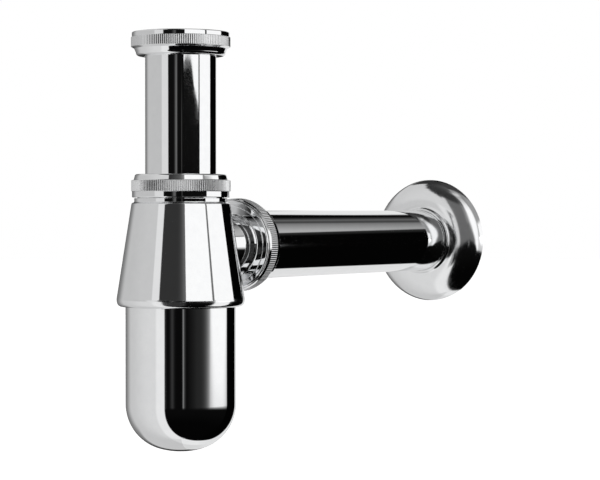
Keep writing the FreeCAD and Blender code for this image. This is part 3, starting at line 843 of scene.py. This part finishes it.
def stage_shell(name, az, el, shade, radius, wrap, mat):
    """Part of the studio seen from the object: a grid of directions with a brightness at each point."""
    a, e = np.radians(az), np.radians(el)
    flat_part = np.cos(e)[..., None] * (np.cos(a)[..., None] * TO_CAMERA + np.sin(a)[..., None] * TO_RIGHT)
    co = (flat_part + np.sin(e)[..., None] * np.array([0.0, 0.0, 1.0])) * radius + np.array([0.0, 0.08, -0.09])
    rows, columns = az.shape
    index = np.arange(rows * columns).reshape(rows, columns)
    right = np.roll(index, -1, axis=1)
    if not wrap:
        index, right = index[:, :-1], right[:, :-1]
    faces = np.stack([index[:-1], right[:-1], right[1:], index[1:]], -1).reshape(-1, 4)
    mesh = bpy.data.meshes.new(name)
    mesh.from_pydata(co.reshape(-1, 3).tolist(), [], faces.tolist())
    glow = mesh.attributes.new("glow", "FLOAT", "POINT")
    glow.data.foreach_set("value", light_of(shade).ravel())
    mesh.materials.append(mat)
    obj = bpy.data.objects.new(name, mesh)
    bpy.context.scene.collection.objects.link(obj)
    obj.visible_camera = False
    obj.visible_shadow = False
    return obj


def lamp_foot(az):
    return np.interp(az, [12, 16, 24, 32, 36, 39, 42, 46, 52, 62], [4.15, 4.28, 4.34, 4.3, 4.2, 4.05, 3.82, 3.52, 3.24, 2.87])


def stage_studio():
    mat = bpy.data.materials.new("studio_light")
    mat.use_nodes = True
    tree = mat.node_tree
    tree.nodes.remove(tree.nodes["Principled BSDF"])
    light = add(tree, "ShaderNodeEmission")
    value = add(tree, "ShaderNodeAttribute", attribute_name="glow")
    tree.links.new(value.outputs["Fac"], light.inputs["Strength"])
    tree.links.new(light.outputs["Emission"], tree.nodes["Material Output"].inputs["Surface"])
    # the room, with a finer grid where its edges show
    az = np.concatenate([np.arange(-180, -66, 1.5), np.arange(-66, 16, 0.6), np.arange(16, 108, 2.0), np.arange(108, 180, 0.9)])
    el = np.concatenate([np.arange(-90, -84, 2.0), np.arange(-84, -12, 0.9), np.arange(-12, 32, 0.7), np.linspace(32, 90, 24)])
    el_grid, az_grid = np.meshgrid(el, az, indexing="ij")
    stage_shell("studio_room", az_grid, el_grid, room_shade(az_grid, el_grid), 12.0, True, mat)
    # two large soft lamps on the right
    az = np.linspace(12.0, 61.8, 30)
    foot = lamp_foot(az)
    step = np.linspace(0.0, 1.0, 40)[:, None]
    el_grid = foot + (62.0 - foot) * step
    az_grid = np.repeat(az[None, :], 40, 0)
    lamp = stage_shell("studio_lamp_left", az_grid, el_grid, 249.0 - 150.0 * ease(el_grid, 50.0, 62.0), 11.6, False, mat)
    others = bpy.data.collections.new("studio_lamp_left_off")
    others.objects.link(wall_flange)
    others.collection_objects[0].light_linking.link_state = "EXCLUDE"
    lamp.light_linking.receiver_collection = others
    az_grid, el_grid = np.meshgrid(np.linspace(66.0, 112.8, 28), np.linspace(-14.0, 26.0, 61))
    drop = el_grid - 4.0 * ((az_grid - 89.4) / 23.4) ** 4 * (el_grid < 0.0)
    fade = np.interp(drop, [-11, -8, -6.3, -4.6, 22, 26], [0.0, 0.2, 0.6, 1.0, 1.0, 0.6])
    base = room_shade(az_grid, np.minimum(el_grid, 0.0))
    stage_shell("studio_lamp_right", az_grid, el_grid, base + (248.0 - base) * fade, 11.6, False, mat)


def stage_fill(name, lit, az, el, shade, room, mat):
    """Extra light from part of the room, up to the given screen value, that falls on one piece only."""
    obj = stage_shell(name, az, el, shade, 11.2, False, mat)
    obj.data.attributes["glow"].data.foreach_set("value", np.maximum(light_of(shade) - light_of(room), 0.0).ravel())
    only = bpy.data.collections.new(name + "_on")
    only.objects.link(lit)
    obj.light_linking.receiver_collection = only


def stage_fills():
    mat = bpy.data.materials.new("studio_fill")
    mat.use_nodes = True
    tree = mat.node_tree
    tree.nodes.remove(tree.nodes["Principled BSDF"])
    light = add(tree, "ShaderNodeEmission")
    value = add(tree, "ShaderNodeAttribute", attribute_name="glow")
    clear = add(tree, "ShaderNodeBsdfTransparent")
    both = add(tree, "ShaderNodeAddShader")
    tree.links.new(value.outputs["Fac"], light.inputs["Strength"])
    tree.links.new(light.outputs["Emission"], both.inputs[0])
    tree.links.new(clear.outputs["BSDF"], both.inputs[1])
    tree.links.new(both.outputs["Shader"], tree.nodes["Material Output"].inputs["Surface"])
    # wall flange: a grey card in front of it, and the left lamp as a softer one that reaches lower
    az = np.concatenate([np.arange(-48, 11.5, 1.25), [11.97, 12.03], np.arange(13, 61.5, 1.25), [61.77, 61.83], np.arange(63, 113, 1.5)])
    el = np.concatenate([np.arange(-22, 2.5, 1.0), np.arange(2.6, 4.7, 0.2), np.arange(5.5, 61.5, 1.0), [61.97, 62.03], np.arange(63, 77, 1.0)])
    el, az = np.meshgrid(el, az, indexing="ij")
    front = np.interp(el, [0, 12, 24, 37, 50], [-22, -24, -26, -31, -36])
    edge = np.interp(el, [-3, 0, 6, 13, 19, 26, 34, 50], [34, 33, 28, 22, 19, 16, 15, 16])
    behind_lamp = (az > 12.0) & (az < 61.8) & (el > lamp_foot(az)) & (el < 62.0)
    room = np.where(behind_lamp, 0.0, room_shade(az, el))
    card = 100.0 + 106.0 * (1.0 - ease(az, front - 3.0, front + 3.0))
    bottom = np.interp(az, [-28, -8, 12, 40, 52], [-6.5, -4.0, -0.5, -7.0, -16.0])
    above_bottom = ease(el, bottom - 2.5, bottom + 2.5)
    shown = above_bottom * (1.0 - ease(el, 47.0, 53.0)) * ease(az, -46.0, -41.0)
    shown = shown * (1.0 - ease(az, edge - 2.0, edge + 12.0) * ~behind_lamp)
    shade = room + (card - room) * shown
    soft = (150.0 - 48.0 * ease(az, 50.0, 66.0)) * np.interp(el, [45, 53, 63, 74], [1.0, 0.89, 0.63, 0.25])
    lamp = ease(az, edge - 7.0, edge + 9.0) * above_bottom * (1.0 - ease(az, 60.0, 66.0) * ease(el, 4.0, 6.0))
    lamp = lamp * (1.0 - ease(az, 104.0, 112.0)) * (1.0 - ease(el, 68.0, 76.0))
    shade = shade + (100.0 + soft - shade) * lamp
    stage_fill("studio_fill_flange", wall_flange, az, el, shade, room, mat)
    # body: the right lamp and a dim front carried on below level, which show in the rounding at its foot
    el, az = np.meshgrid(np.arange(-58.0, 0.0, 1.5), np.arange(-42.0, 113.0, 1.5), indexing="ij")
    room = room_shade(az, el)
    low = ease(el, -56.0, -44.0)
    strip = low * (1.0 - ease(el, -4.5, -3.0)) * band(az, 66.0, 103.0, 1.0)
    dim = low * (1.0 - ease(el, -6.0, -2.0)) * band(az, -36.0, 11.0, 2.0)
    shade = np.maximum(room + (240.0 - room) * strip, room + (48.0 - room) * dim)
    stage_fill("studio_fill_body", trap_body, az, el, shade, room, mat)


def stage_floor():
    """Pale floor below the cup. The camera sees it, and the chrome mirrors the studio's walls in its place."""
    count, radius = 96, 7.0
    co = [(radius * math.cos(TAU * k / count), 0.08 + radius * math.sin(TAU * k / count), -0.262) for k in range(count)]
    mesh = bpy.data.meshes.new("floor")
    mesh.from_pydata(co, [], [tuple(range(count))])
    mat, tree, skin = new_material("floor_pale")
    skin.inputs["Base Color"].default_value = (0.9, 0.9, 0.9, 1.0)
    skin.inputs["Roughness"].default_value = 0.9
    skin.inputs["Emission Color"].default_value = (1.0, 1.0, 1.0, 1.0)
    skin.inputs["Emission Strength"].default_value = 0.8
    clear = add(tree, "ShaderNodeBsdfTransparent")
    mix = add(tree, "ShaderNodeMixShader")
    side_of = add(tree, "ShaderNodeNewGeometry")
    tree.links.new(side_of.outputs["Backfacing"], mix.inputs["Fac"])
    tree.links.new(skin.outputs["BSDF"], mix.inputs[1])
    tree.links.new(clear.outputs["BSDF"], mix.inputs[2])
    tree.links.new(mix.outputs["Shader"], tree.nodes["Material Output"].inputs["Surface"])
    mesh.materials.append(mat)
    floor = bpy.data.objects.new("floor", mesh)
    bpy.context.scene.collection.objects.link(floor)
    floor.visible_glossy = False


stage_studio()
stage_fills()
stage_floor()
world = bpy.data.worlds.new("studio_world")
bpy.context.scene.world = world
world.use_nodes = True
world.node_tree.nodes["Background"].inputs["Color"].default_value = (1.0, 1.0, 1.0, 1.0)
world.node_tree.nodes["Background"].inputs["Strength"].default_value = 1.0
bpy.context.scene.view_settings.view_transform = "Standard"
bpy.context.scene.view_settings.look = "None"
